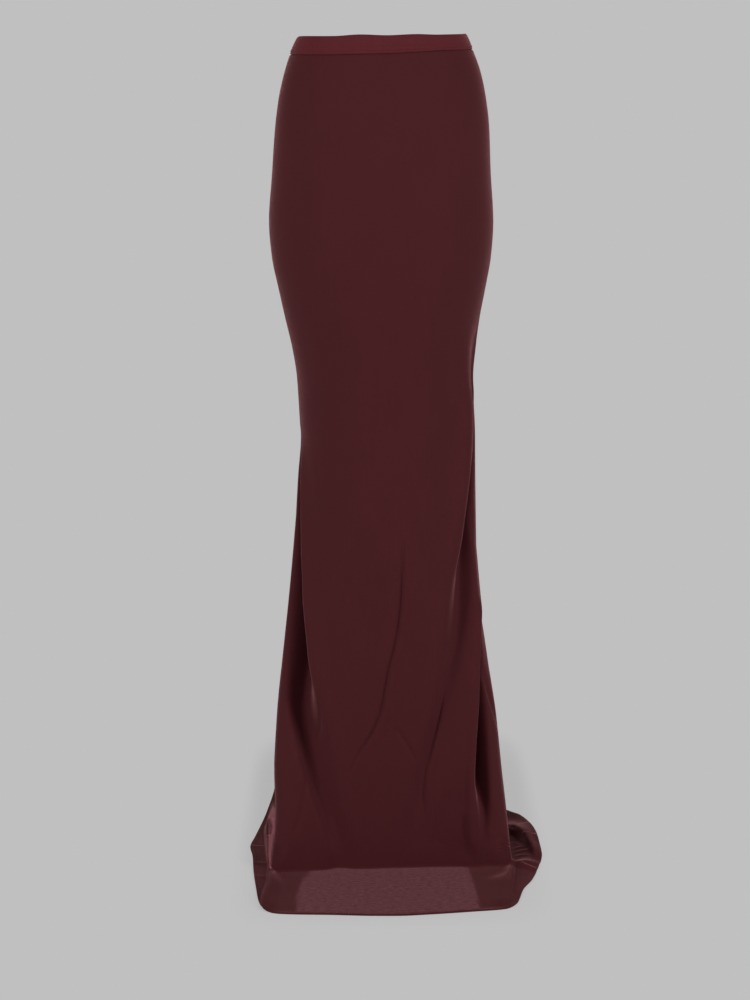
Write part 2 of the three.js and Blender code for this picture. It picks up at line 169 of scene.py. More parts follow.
# The folds of the tube, each with its rows from top to foot: down, around, how far the cloth stands
# out there, or in if negative, and the half widths on the side of the smaller and of the larger
# place around the skirt. crisp is 2 for a soft round fold, where it isn't given, and near 1 for a
# sharp one. lean turns the way that it stands out towards the larger place, in degrees. crowd draws
# the mesh's columns together along the fold: its reach round the skirt, and how many times as close.
FOLDS = [
    dict(name="left flute", run=[
        (0.66, -0.5, 0, 0.03, 0.024), (0.76, -0.48, 0.004, 0.03, 0.022),
        (0.86, -0.46, 0.007, 0.03, 0.022), (0.94, -0.41, 0.009, 0.03, 0.022),
        (1.00, -0.37, 0.009, 0.03, 0.022), (1.07, -0.33, 0.005, 0.03, 0.02),
        (1.15, -0.3, 0.001, 0.03, 0.02)]),
    dict(name="foot swung forward, left", lean=90, run=[
        (1.04, -0.36, 0, 0.05, 0.14), (1.15, -0.36, 0.008, 0.05, 0.14)]),
    dict(name="left valley", crisp=2.2, lean=24, crowd=(0.05, 3), run=[
        (0.53, -0.496, 0, 0.007, 0.009), (0.56, -0.463, -0.014, 0.007, 0.01),
        (0.6, -0.424, -0.03, 0.01, 0.012), (0.65, -0.402, -0.044, 0.013, 0.014),
        (0.7, -0.391, -0.054, 0.018, 0.016), (0.75, -0.381, -0.062, 0.022, 0.018),
        (0.8, -0.362, -0.064, 0.024, 0.018), (0.855, -0.336, -0.056, 0.024, 0.017),
        (0.91, -0.305, -0.046, 0.021, 0.019), (0.965, -0.262, -0.034, 0.017, 0.02),
        (1.02, -0.226, -0.021, 0.013, 0.018), (1.08, -0.182, -0.012, 0.011, 0.015),
        (1.13, -0.148, -0.006, 0.011, 0.014)]),
    dict(name="front edge, left", crisp=1.7, crowd=(0.014, 5), run=[
        (0.54, -0.425, 0, 0.009, 0.014), (0.58, -0.392, 0.003, 0.009, 0.014),
        (0.628, -0.366, 0.006, 0.009, 0.014), (0.688, -0.34, 0.008, 0.008, 0.015),
        (0.741, -0.324, 0.009, 0.007, 0.016), (0.794, -0.306, 0.008, 0.006, 0.016),
        (0.85, -0.28, 0.005, 0.006, 0.016), (0.906, -0.258, 0.001, 0.007, 0.016),
        (0.96, -0.24, 0, 0.01, 0.014)]),
    dict(name="front edge, right", crowd=(0.014, 3), run=[
        (0.38, 0.35, 0, 0.02, 0.018), (0.46, 0.335, 0.008, 0.02, 0.018),
        (0.52, 0.319, 0.012, 0.02, 0.018), (0.6, 0.3, 0.013, 0.02, 0.018),
        (0.68, 0.276, 0.01, 0.02, 0.016), (0.736, 0.25, 0.006, 0.02, 0.015),
        (0.79, 0.225, 0.003, 0.018, 0.014), (0.876, 0.174, 0.002, 0.018, 0.012),
        (0.96, 0.125, 0, 0.02, 0.012)]),
    dict(name="right valley", lean=-22, crowd=(0.03, 2.5), run=[
        (0.48, 0.445, 0, 0.012, 0.01), (0.54, 0.412, -0.01, 0.013, 0.01),
        (0.58, 0.384, -0.02, 0.014, 0.01), (0.628, 0.355, -0.026, 0.015, 0.011),
        (0.684, 0.332, -0.026, 0.016, 0.013), (0.737, 0.294, -0.02, 0.016, 0.016),
        (0.79, 0.262, -0.017, 0.015, 0.018), (0.848, 0.222, -0.014, 0.013, 0.02),
        (0.905, 0.183, -0.012, 0.01, 0.02), (0.962, 0.14, -0.01, 0.008, 0.019),
        (1.01, 0.108, -0.007, 0.008, 0.018), (1.08, 0.085, -0.003, 0.01, 0.016),
        (1.13, 0.08, 0, 0.012, 0.016)]),
    dict(name="right flute", run=[
        (0.68, 0.39, 0, 0.018, 0.014), (0.771, 0.348, 0.007, 0.018, 0.014),
        (0.84, 0.315, 0.008, 0.018, 0.014), (0.91, 0.287, 0.008, 0.017, 0.014),
        (0.996, 0.26, 0.007, 0.016, 0.013), (1.08, 0.242, 0.004, 0.015, 0.012),
        (1.15, 0.235, 0.002, 0.014, 0.012)]),
    dict(name="edge of the right flute", crisp=1.2, crowd=(0.01, 6), run=[
        (0.7, 0.44, 0, 0.014, 0.004), (0.76, 0.4, 0.005, 0.014, 0.004),
        (0.8, 0.345, 0.007, 0.014, 0.004), (0.855, 0.318, 0.007, 0.014, 0.004),
        (0.905, 0.307, 0.007, 0.014, 0.004), (0.963, 0.292, 0.007, 0.014, 0.004),
        (1.026, 0.274, 0.005, 0.013, 0.004), (1.085, 0.262, 0.003, 0.012, 0.004),
        (1.15, 0.252, 0.001, 0.012, 0.004)]),
    dict(name="right outer valley", crisp=1.9, crowd=(0.03, 4), run=[
        (0.72, 0.45, 0, 0.005, 0.008), (0.76, 0.425, -0.016, 0.005, 0.008),
        (0.8, 0.368, -0.036, 0.005, 0.008), (0.855, 0.337, -0.048, 0.005, 0.008),
        (0.905, 0.323, -0.05, 0.005, 0.008), (0.964, 0.307, -0.046, 0.006, 0.0075),
        (1.024, 0.291, -0.032, 0.006, 0.0075), (1.056, 0.286, -0.016, 0.006, 0.007),
        (1.09, 0.28, -0.006, 0.005, 0.007), (1.13, 0.272, -0.001, 0.005, 0.007)]),
    dict(name="outer flute, right", run=[
        (0.8, 0.46, 0, 0.01, 0.02), (0.87, 0.42, 0.002, 0.01, 0.022),
        (0.95, 0.39, 0.004, 0.012, 0.024), (1.04, 0.365, 0.003, 0.014, 0.024),
        (1.13, 0.35, 0, 0.014, 0.024)]),
    dict(name="seat to hem, left", run=[
        (0.52, -0.8, 0, 0.034, 0.034), (0.7, -0.77, 0.009, 0.034, 0.034),
        (0.9, -0.74, 0.011, 0.032, 0.036), (1.15, -0.7, 0.008, 0.03, 0.036)]),
    dict(name="back valley, left", crisp=1.8, crowd=(0.06, 1.5), run=[
        (0.56, -0.88, 0, 0.026, 0.018), (0.74, -0.86, -0.013, 0.026, 0.017),
        (0.95, -0.84, -0.02, 0.024, 0.015), (1.15, -0.82, -0.012, 0.022, 0.016)]),
    dict(name="back flute", run=[
        (0.6, 0.985, 0, 0.03, 0.026), (0.78, 0.99, 0.01, 0.03, 0.026),
        (0.96, 1.00, 0.013, 0.026, 0.03), (1.15, 1.01, 0.008, 0.026, 0.03)]),
    dict(name="back valley, right", crisp=1.8, crowd=(0.06, 1.5), run=[
        (0.54, 0.87, 0, 0.02, 0.026), (0.76, 0.86, -0.014, 0.018, 0.026),
        (0.94, 0.85, -0.018, 0.016, 0.026), (1.15, 0.83, -0.009, 0.016, 0.024)]),
    dict(name="seat to hem, right", run=[
        (0.5, 0.78, 0, 0.034, 0.034), (0.72, 0.75, 0.01, 0.034, 0.032),
        (0.92, 0.72, 0.011, 0.036, 0.03), (1.15, 0.69, 0.007, 0.036, 0.03)]),
]

# Fine creases of the tube: down and around, with how far the cloth stands out in the middle and the
# two half widths (wide) once for each
CREASES = [
    dict(name="centre crease", out=-0.0028, wide=(0.0026, 0.0014), crisp=1.4, crowd=(0.014, 7), run=[
        (0.64, 0.066), (0.723, 0.059), (0.759, 0.055), (0.811, 0.037), (0.861, 0.004),
        (0.924, -0.028), (0.95, -0.052), (0.99, -0.104), (1.04, -0.14)]),
    dict(name="beside the centre crease", out=0.0016, wide=(0.004, 0.012), run=[
        (0.66, 0.084), (0.759, 0.073), (0.861, 0.022), (0.93, -0.014), (0.99, -0.078)]),
    dict(name="outer pull at the right knee", out=0.0036, wide=(0.005, 0.003), crisp=1.6,
         crowd=(0.012, 3), run=[
        (0.37, 0.47), (0.41, 0.448), (0.466, 0.424), (0.547, 0.385), (0.61, 0.36)]),
    dict(name="inner pull at the right knee", out=0.0024, wide=(0.006, 0.004), crisp=1.6,
         crowd=(0.012, 2), run=[
        (0.41, 0.385), (0.463, 0.373), (0.49, 0.358), (0.573, 0.344), (0.61, 0.335)]),
    dict(name="crisp crease along the right valley", out=-0.0025, wide=(0.0018, 0.0016), crisp=1.5,
         crowd=(0.008, 4), run=[
        (0.88, 0.195), (0.93, 0.162), (0.98, 0.13), (1.02, 0.108), (1.06, 0.1), (1.1, 0.092)]),
    dict(name="thin crease, low left", out=-0.002, wide=(0.0024, 0.003), crisp=1.6,
         crowd=(0.01, 2), run=[
        (0.99, -0.25), (1.01, -0.255), (1.069, -0.273), (1.11, -0.295)]),
    dict(name="streak at the left knee", out=-0.0007, wide=(0.003, 0.003), run=[
        (0.56, -0.295), (0.578, -0.284), (0.606, -0.265), (0.63, -0.26)]),
    dict(name="thin crease beside the left edge", out=-0.002, wide=(0.0024, 0.0024), crisp=1.6, run=[
        (0.89, -0.238), (0.92, -0.23), (0.955, -0.226), (0.98, -0.228)]),
    dict(name="thin crease on the right flute", out=-0.002, wide=(0.0026, 0.0026), crisp=1.7,
         crowd=(0.01, 2), run=[
        (0.9, 0.28), (0.93, 0.272), (0.96, 0.255), (1.02, 0.241), (1.09, 0.226)]),
    dict(name="thin crease, outer right", out=-0.0024, wide=(0.003, 0.003), crisp=1.7, run=[
        (0.86, 0.362), (0.9, 0.372), (0.936, 0.384), (0.97, 0.4)]),
    dict(name="short crease, centre", out=-0.0018, wide=(0.003, 0.0024), crisp=1.6, run=[
        (0.925, 0.004), (0.94, -0.002), (0.951, -0.006), (0.97, -0.012)]),
    dict(name="short crease, right of centre", out=-0.0018, wide=(0.003, 0.0026), crisp=1.6,
         crowd=(0.01, 2), run=[
        (0.94, 0.02), (0.957, 0.04), (0.975, 0.065), (1.0, 0.085)]),
    dict(name="low ridge, right", out=0.0026, wide=(0.005, 0.004), crisp=1.7, run=[
        (0.98, 0.262), (1.03, 0.25), (1.1, 0.236), (1.145, 0.23)]),
    dict(name="low crease beside it", out=-0.0026, wide=(0.003, 0.003), crisp=1.6,
         crowd=(0.01, 2), run=[
        (1.07, 0.226), (1.102, 0.221), (1.148, 0.215)]),
    dict(name="low slanting crease", out=-0.002, wide=(0.004, 0.003), crisp=1.7, run=[
        (1.03, 0.19), (1.061, 0.171), (1.116, 0.133), (1.14, 0.12)]),
    dict(name="low slanting crease, outer right", out=-0.0016, wide=(0.007, 0.007), crisp=1.8, run=[
        (1.02, 0.286), (1.06, 0.299), (1.1, 0.313), (1.14, 0.322)]),
    dict(name="shallow hollow down the front", out=-0.003, wide=(0.022, 0.022), run=[
        (0.28, 0.004), (0.36, 0), (0.46, -0.007), (0.56, 0)]),
    dict(name="hollow under the seat", out=-0.006, wide=(0.055, 0.055), run=[
        (0.22, 1.0), (0.33, 1.0), (0.46, 1.0), (0.6, 0.99)]),
    dict(name="pull from the seat, left", out=0.0022, wide=(0.006, 0.009), crisp=1.8, run=[
        (0.3, -0.82), (0.38, -0.86), (0.47, -0.885), (0.54, -0.89)]),
    dict(name="pull from the seat, right", out=0.002, wide=(0.009, 0.006), crisp=1.8, run=[
        (0.31, 0.84), (0.4, 0.87), (0.48, 0.885), (0.52, 0.888)]),
    dict(name="back knee crease, left", out=-0.0028, wide=(0.005, 0.008), crisp=1.7, run=[
        (0.5, -0.7), (0.58, -0.73), (0.7, -0.74), (0.8, -0.73)]),
    dict(name="back knee crease, right", out=-0.0026, wide=(0.008, 0.005), crisp=1.7, run=[
        (0.53, 0.69), (0.62, 0.7), (0.72, 0.705), (0.84, 0.69)]),
    dict(name="thin crease down the back", out=-0.003, wide=(0.005, 0.006), crisp=1.7, run=[
        (0.72, 0.94), (0.82, 0.935), (0.95, 0.92), (1.06, 0.9)]),
    dict(name="second crease down the back", out=-0.0026, wide=(0.006, 0.005), crisp=1.7, run=[
        (0.78, -0.93), (0.9, -0.925), (1.02, -0.91), (1.1, -0.9)]),
    dict(name="side crease, left", out=-0.003, wide=(0.007, 0.005), crisp=1.7, run=[
        (0.74, -0.6), (0.85, -0.61), (0.98, -0.6), (1.08, -0.58)]),
    dict(name="side crease, right", out=-0.0034, wide=(0.005, 0.008), crisp=1.7, run=[
        (0.7, 0.57), (0.82, 0.58), (0.96, 0.585), (1.09, 0.57)]),
    dict(name="low side crease, left", out=-0.0036, wide=(0.008, 0.006), crisp=1.8, run=[
        (0.94, -0.67), (1.01, -0.66), (1.08, -0.64), (1.13, -0.62)]),
    dict(name="low side crease, right", out=-0.0036, wide=(0.006, 0.008), crisp=1.8, run=[
        (0.96, 0.66), (1.03, 0.65), (1.09, 0.63), (1.13, 0.61)]),
]
CREASE_ENDS = 4

# How much cloth one step of around stands for, the tiny round at every fold's crest, and the usual
# crisp of a fold
HALF_GIRTH = 0.45
CREST = 0.0012
SOFT = 2

# Where the cloth on the floor is pushed up into soft heaps between the bend and the hem: around, the
# heap's reach there, and how high it is
HEAPS = [
    (0.49, 0.07, 0.004),
    (0.39, 0.035, 0.002),
    (0.76, 0.05, 0.014),
    (0.91, 0.035, 0.016),
    (-0.93, 0.04, 0.015),
    (-0.79, 0.05, 0.013),
]

# Ridges and hollows of the cloth on the floor, each with its rows: x, y, how high, and the half
# widths to the left and right of the way that it runs, where they aren't the same all along (wide)
RIDGES = [
    dict(name="folded strip, left", run=[
        (-0.18, 0.14, 0, 0.02, 0.0035), (-0.181, 0.068, 0.01, 0.03, 0.0035),
        (-0.1842, 0.022, 0.013, 0.034, 0.0032), (-0.1815, -0.02, 0.012, 0.034, 0.003),
        (-0.1762, -0.079, 0.009, 0.02, 0.0028), (-0.1738, -0.112, 0.004, 0.005, 0.0026),
        (-0.1735, -0.16, 0.006, 0.012, 0.0024), (-0.178, -0.208, 0.006, 0.014, 0.0024),
        (-0.1772, -0.238, 0.004, 0.014, 0.0024), (-0.172, -0.256, 0, 0.014, 0.002)]),
    dict(name="hole in the strip", run=[
        (-0.181, 0.05, 0, 0.002, 0.002), (-0.1795, 0.026, -0.007, 0.0025, 0.002),
        (-0.1785, 0, -0.006, 0.002, 0.002), (-0.18, -0.02, 0, 0.002, 0.002)]),
    dict(name="wrinkle, left tip", crisp=1.7, wide=(0.003, 0.004), run=[
        (-0.204, -0.088, 0), (-0.194, -0.09, 0.0006), (-0.184, -0.093, 0.0006), (-0.177, -0.098, 0)]),
    dict(name="lower wrinkle, left tip", crisp=1.7, wide=(0.003, 0.004), run=[
        (-0.196, -0.134, 0), (-0.184, -0.137, 0.0005), (-0.176, -0.135, 0)]),
    dict(name="folded edge, right", run=[
        (0.173, -0.088, 0, 0.0022, 0.004), (0.1725, -0.108, 0.003, 0.002, 0.005),
        (0.17, -0.139, 0.005, 0.002, 0.01), (0.1665, -0.167, 0.005, 0.002, 0.022),
        (0.163, -0.194, 0.004, 0.002, 0.022), (0.159, -0.229, 0.003, 0.003, 0.022),
        (0.155, -0.252, 0, 0.003, 0.02)]),
    dict(name="upper rim, right", wide=(0.003, 0.012), run=[
        (0.172, 0.095, 0), (0.1853, 0.076, 0.004), (0.194, 0.063, 0.005), (0.2025, 0.042, 0.005),
        (0.208, 0.02, 0.005), (0.212, -0.008, 0.004), (0.2135, -0.045, 0)]),
    dict(name="lit ridge, right", crisp=1.7, run=[
        (0.172, 0.014, 0.008, 0.026, 0.0026), (0.1765, 0.0065, 0.011, 0.026, 0.0026),
        (0.1896, -0.014, 0.011, 0.024, 0.0026), (0.1994, -0.045, 0.01, 0.018, 0.003),
        (0.2065, -0.075, 0.006, 0.012, 0.004), (0.2095, -0.096, 0, 0.01, 0.004)]),
    dict(name="hollow, right", run=[
        (0.171, 0.016, -0.002, 0.003, 0.006), (0.1778, 0.006, -0.004, 0.003, 0.006),
        (0.185, -0.012, -0.004, 0.003, 0.006), (0.1912, -0.031, -0.003, 0.003, 0.006),
        (0.196, -0.046, 0, 0.003, 0.005)]),
    dict(name="fine wrinkle, right", crisp=1.7, wide=(0.002, 0.003), run=[
        (0.175, -0.054, 0), (0.186, -0.053, 0.0012), (0.2, -0.057, 0)]),
    dict(name="second fine wrinkle, right", crisp=1.7, wide=(0.002, 0.003), run=[
        (0.175, -0.066, 0), (0.19, -0.066, 0.0013), (0.209, -0.068, 0)]),
    dict(name="third fine wrinkle, right", crisp=1.7, wide=(0.002, 0.003), run=[
        (0.175, -0.08, 0), (0.188, -0.081, 0.0012), (0.207, -0.083, 0)]),
    dict(name="bright wrinkle, right", crisp=1.7, run=[
        (0.172, -0.101, 0.001, 0.009, 0.004), (0.185, -0.1085, 0.0036, 0.009, 0.004),
        (0.197, -0.1075, 0.003, 0.009, 0.0045), (0.212, -0.106, 0, 0.008, 0.004)]),
    dict(name="lower bright wrinkle, right", crisp=1.7, run=[
        (0.173, -0.106, 0.001, 0.004, 0.003), (0.185, -0.117, 0.004, 0.004, 0.003),
        (0.1925, -0.1236, 0.004, 0.005, 0.003), (0.207, -0.13, 0, 0.005, 0.003)]),
    dict(name="train ridge, far left", crisp=1.8, run=[
        (-0.145, 0.17, 0, 0.014, 0.018), (-0.156, 0.22, 0.011, 0.014, 0.018),
        (-0.157, 0.28, 0.012, 0.013, 0.02), (-0.145, 0.33, 0.008, 0.012, 0.018),
        (-0.13, 0.36, 0, 0.012, 0.016)]),
    dict(name="train ridge, left", crisp=1.8, run=[
        (-0.082, 0.205, 0, 0.018, 0.014), (-0.089, 0.26, 0.013, 0.018, 0.014),
        (-0.083, 0.33, 0.012, 0.02, 0.012), (-0.062, 0.4, 0.004, 0.018, 0.012)]),
    dict(name="train ridge, middle", crisp=1.8, run=[
        (0.006, 0.24, 0, 0.012, 0.016), (0.014, 0.3, 0.009, 0.012, 0.016),
        (0.008, 0.36, 0.01, 0.013, 0.015), (0.012, 0.412, 0.003, 0.012, 0.014)]),
    dict(name="train ridge, right", crisp=1.8, run=[
        (0.084, 0.2, 0, 0.014, 0.02), (0.096, 0.25, 0.012, 0.014, 0.02),
        (0.093, 0.32, 0.013, 0.012, 0.021), (0.08, 0.395, 0.004, 0.012, 0.018)]),
    dict(name="train ridge, far right", crisp=1.8, run=[
        (0.14, 0.16, 0, 0.016, 0.013), (0.155, 0.215, 0.01, 0.016, 0.013),
        (0.153, 0.285, 0.011, 0.017, 0.012), (0.132, 0.355, 0, 0.015, 0.012)]),
]

# Painted light: where a single layer lies over the pale floor, the floor's light shining through the
# cloth is painted into its colour, over outlines that turn left, with how much of it shows, how bright
# it is painted and how soft the edge is. None is painted above this stage of the bend, nor on the turned
# hem.
LAYERS_FROM = 1.6
LAYER_FADES = 0.002
PAINTED_FLOOR_LIGHT_PATCHES = [
    dict(shows=0.85, pale=1.0, edge=0.004, outline=[
        (-0.104, -0.108), (-0.1163, -0.1226), (-0.1258, -0.1518), (-0.1305, -0.1782), (-0.132, -0.2204),
        (-0.133, -0.29), (0.12, -0.29), (0.1195, -0.23), (0.115, -0.185), (0.1119, -0.108)]),
    # The folded strip at the left: painted light 2.5 times as bright, reaching to the tube's foot, where
    # it also lightens the strip's wall in the tube's shade
    dict(shows=1.0, pale=2.5, edge=0.0012, outline=[
        (-0.1805, 0.12), (-0.183, 0.068), (-0.1855, 0.022), (-0.1828, -0.02), (-0.1775, -0.079),
        (-0.1752, -0.122), (-0.1715, -0.118), (-0.169, -0.038), (-0.169, 0.05)]),
]

# The meshes' rows and columns, and the steps of the tables that are worked out for them
COLUMNS = 204
TUBE_ROWS = 190
BEND_ROWS = 6
FLOOR_ROWS = 44
BAND_COLUMNS = 360
BAND_ROWS = 40
SECTION_ROWS = 500
SECTION_STEPS = 600
SHARE_STEPS = 401
PLACE_STEPS = 4000
COLUMN_STEPS = 1500
RIDGE_STEPS = 24

# Where rows and columns lie closer together. Rows have a place, its reach and how many times as
# close. Columns have that place at each down, which counts on past the foot over the floor.
CROWD_ABOVE = 0.08
CROWD_BELOW = 0.06
FLOOR_BEGINS = 1.14
ON_FLOOR = 0.2
SEAM_CROWDS = [[(0, -0.5, 0.006, 4)], [(0, 0.5, 0.006, 4)]]
FRONT_CROWDS = SEAM_CROWDS + [
    [(1.12, -0.43, 0.09, 0), (1.17, -0.43, 0.09, 3)],
    [(1.12, 0.43, 0.09, 0), (1.17, 0.42, 0.09, 4)],
    [(1.12, 0.24, 0.04, 0), (1.17, 0.24, 0.04, 1)],
]
BACK_CROWDS = SEAM_CROWDS + [
    [(1.12, 0.54, 0.05, 0), (1.17, 0.55, 0.06, 4)],
    [(1.12, -0.54, 0.05, 0), (1.17, -0.54, 0.05, 3)],
]
TUBE_CROWDS = [(0.0062, 0.004, 11), (0.78, 0.26, 2.6), (1.0, 0.01, 2)]
FLOOR_CROWDS = [(0.0, 0.05, 1.5), (1.0, 0.05, 2.5)]


def steady(places, values, at):
    """A smooth value through a table's rows that never overshoots them."""
    places, values = np.asarray(places, float), np.asarray(values, float)
    gap = np.diff(places)
    rise = np.diff(values) / gap
    slope = np.zeros(len(places))
    slope[0], slope[-1] = rise[0], rise[-1]
    turns = rise[:-1] * rise[1:] <= 0
    before, after = 2 * gap[1:] + gap[:-1], gap[1:] + 2 * gap[:-1]
    safe = np.where(turns, 1.0, rise[:-1]), np.where(turns, 1.0, rise[1:])
    slope[1:-1] = np.where(turns, 0.0, (before + after) / (before / safe[0] + after / safe[1]))
    at = np.clip(at, places[0], places[-1])
    i = np.clip(np.searchsorted(places, at, side="right") - 1, 0, len(gap) - 1)
    t = (at - places[i]) / gap[i]
    s = 1 - t
    start = values[i] * (1 + 2 * t) * s * s + slope[i] * gap[i] * t * s * s
    return start + values[i + 1] * t * t * (3 - 2 * t) - slope[i + 1] * gap[i] * t * t * s


def gentle(t):
    held = np.clip(t, 0.0, 1.0)
    return held * held * (3 - 2 * held)


def wrapped(around):
    """around brought into -0.5 to 1.5, so that the front half comes first."""
    return around - 2 * np.floor((around + 0.5) / 2)


def signed_gap(a, b):
    """How far round the skirt a is past b, from -1 to 1."""
    return (a - b + 1) % 2 - 1


def round_table(rows, columns, name):
    """A table that runs once round the skirt, repeated past both ends so that it closes smoothly."""
    key, column = columns.index("around"), columns.index(name)
    places = [row[key] + turn for turn in (-2, 0, 2) for row in rows]
    values = [row[column] for row in rows] * 3
    return lambda around: steady(places, values, around)


def section_lines():
    """Both halves of the tube's section at many heights, with even spacing along the cloth."""
    downs = np.linspace(0, WAIST_TO_FLOOR, SECTION_ROWS)
    rows = np.array(SECTIONS)
    sizes = {name: steady(rows[:, 0], rows[:, i], downs) for i, name in enumerate(SECTION_COLUMNS)}
    angle = np.linspace(0, math.pi, SECTION_STEPS)
    deep = np.sin(angle)
    deep[-1] = 0
    shares = np.linspace(0, 1, SHARE_STEPS)
    halves = []
    for is_back in (False, True):
        turn = -1 if is_back else 1
        across = -np.cos(angle) * turn
        lines = np.empty((SECTION_ROWS, SHARE_STEPS, 2))
        for i in range(SECTION_ROWS):
            power = 2 / (BACK_SQUARE if is_back else sizes["square"][i])
            depth = sizes["back" if is_back else "front"][i]
            half = np.where(across < 0, sizes["left"][i], sizes["right"][i])
            x = np.sign(across) * half * np.abs(across) ** power
            y = sizes["middle"][i] - turn * depth * deep ** power
            length = np.concatenate([[0], np.cumsum(np.hypot(np.diff(x), np.diff(y)))])
            want = shares * length[-1]
            lines[i] = np.stack([np.interp(want, length, x), np.interp(want, length, y)], axis=1)
        halves.append(lines)
    return halves


FRONT_LINES, BACK_LINES = section_lines()
hem_x = round_table(HEM, HEM_COLUMNS, "x")
hem_y = round_table(HEM, HEM_COLUMNS, "y")
bend_radius = round_table(BENDS, BEND_COLUMNS, "radius")
band_edge = round_table(BAND_EDGES, BAND_EDGE_COLUMNS, "high")
band_seam = round_table(BAND_EDGES, BAND_EDGE_COLUMNS, "seam")


def between_lines(lines, down, share):
    """The place on a table of section lines, between its rows and columns."""
    row = np.clip(down / WAIST_TO_FLOOR, 0, 1) * (SECTION_ROWS - 1)
    column = np.clip(share, 0, 1) * (SHARE_STEPS - 1)
    r = np.clip(row.astype(int), 0, SECTION_ROWS - 2)
    c = np.clip(column.astype(int), 0, SHARE_STEPS - 2)
    v, u = (row - r)[..., None], (column - c)[..., None]
    upper = lines[r, c] * (1 - u) + lines[r, c + 1] * u
    lower = lines[r + 1, c] * (1 - u) + lines[r + 1, c + 1] * u
    return upper * (1 - v) + lower * v


def on_section(down, around):
    """The place on the tube's section, without folds."""
    place = wrapped(around)
    front = between_lines(FRONT_LINES, down, place + 0.5)
    back = between_lines(BACK_LINES, down, place - 0.5)
    return np.where((place > 0.5)[..., None], back, front)


def out_of_section(down, around):
    """The level way out of the tube's section."""
    step = 0.004
    along = on_section(down, around + step) - on_section(down, around - step)
    along /= np.linalg.norm(along, axis=-1, keepdims=True)
    return np.stack([along[..., 1], -along[..., 0]], axis=-1)


def fold_shape(aside, before, after, crisp):
    """A fold's profile across itself: 1 at its crest, with a tiny round there."""
    width = np.where(aside < 0, before, after)
    away = np.sqrt(aside * aside + CREST * CREST) - CREST
    return np.exp(-(away / width) ** crisp)


def fold_push(down, around):
    """How far, and which way, the folds and creases move the cloth away from its section."""
    push = np.zeros((*np.shape(around), 2))
    for fold in FOLDS + CREASES:
        run = np.array(fold["run"])
        middle, *shape = (steady(run[:, 0], column, down) for column in run.T[1:])
        if shape:
            out, before, after = shape
        else:
            share = CREASE_ENDS * (down - run[0, 0]) / (run[-1, 0] - run[0, 0])
            out = fold["out"] * gentle(share) * gentle(CREASE_ENDS - share)
            before, after = fold["wide"]
        aside = signed_gap(around, middle) * HALF_GIRTH
        size = out * fold_shape(aside, before, after, fold.get("crisp", SOFT))
        lean = math.radians(fold.get("lean", 0))
        way = out_of_section(down, middle)
        beside = np.stack([-way[..., 1], way[..., 0]], axis=-1)
        push += size[..., None] * (way * math.cos(lean) + beside * math.sin(lean))
    return push


def beside_run(x, y, run):
    """How far points lie to the left of a run of places, and how far along it, with its rows' own."""
    way = np.concatenate([[0], np.cumsum(np.hypot(*np.diff(run, axis=0).T))])
    fine = np.linspace(0, way[-1], RIDGE_STEPS)
    line = np.stack([steady(way, run[:, 0], fine), steady(way, run[:, 1], fine)], axis=1)
    nearest = np.full(np.shape(x), np.inf)
    aside, passed = np.zeros(np.shape(x)), np.zeros(np.shape(x))
    for i in range(len(line) - 1):
        step = line[i + 1] - line[i]
        size = np.hypot(*step)
        along = ((x - line[i, 0]) * step[0] + (y - line[i, 1]) * step[1]) / size
        off = ((y - line[i, 1]) * step[0] - (x - line[i, 0]) * step[1]) / size
        held = np.clip(along, 0, size)
        far = np.hypot(off, along - held)
        closer = far < nearest
        nearest = np.where(closer, far, nearest)
        aside = np.where(closer, np.copysign(far, off), aside)
        passed = np.where(closer, fine[i] + held * (fine[1] - fine[0]) / size, passed)
    return aside, passed, way


def floor_high(x, y, around, outward):
    """How high the cloth on the floor is pushed up."""
    high = np.zeros(np.shape(x))
    for place, reach, top in HEAPS:
        high += top * np.exp(-((signed_gap(around, place) / reach) ** 2))
    high *= np.sin(math.pi * outward) ** 2
    for ridge in RIDGES:
        run = np.array(ridge["run"])
        aside, passed, way = beside_run(x, y, run[:, :2])
        top, *sides = (steady(way, column, passed) for column in run.T[2:])
        left, right = sides or ridge["wide"]
        high += top * fold_shape(-aside, left, right, ridge.get("crisp", SOFT))
    return np.maximum(high, 0)


def outer_face(around, stage):
    """The outer face of the cloth. stage runs from 0 just inside the waistband to 1 where the bend
    starts, to 2 where the cloth reaches the floor, and to 3 at the hem."""
    radius = bend_radius(wrapped(around))
    floor = -WAIST_TO_FLOOR + CLOTH
    top = BAND_HEIGHT - TUCK
    turn = np.clip(stage - 1, 0, 1) * math.pi / 2

    def across(down, turn):
        bend = out_of_section(down, around) * (radius * (1 - np.cos(turn)))[..., None]
        return np.moveaxis(on_section(down, around) + fold_push(down, around) + bend, -1, 0)

    raised = floor_high(*across(-floor - radius, math.pi / 2), around, 0 * stage)
    foot = -floor - radius - raised
    down = top + (foot - top) * np.clip(stage, 0, 1)
    x, y = across(down, turn)
    outward = np.clip(stage - 2, 0, 1)
    place = wrapped(around)
    x = x + (hem_x(place) - x) * outward
    y = y + (hem_y(place) - y) * outward
    bent = turn / (math.pi / 2)
    high = raised * (1 - bent) + floor_high(x, y, around, outward) * bent
    z = np.where(stage < 1, -down, floor + radius * (1 - np.sin(turn)) + high)
    return np.stack([x, y, z], axis=-1)


def uneven(first, last, count, crowds):
    """Places from first to last, closer together round each crowd, given as (place, reach, times)."""
    fine = np.linspace(first, last, PLACE_STEPS)
    density = 1 + sum(times * np.exp(-(((fine - place) / reach) ** 2)) for place, reach, times in crowds)
    total = np.concatenate([[0], np.cumsum((density[1:] + density[:-1]) / 2)])
    return np.interp(np.linspace(0, total[-1], count), total, fine)


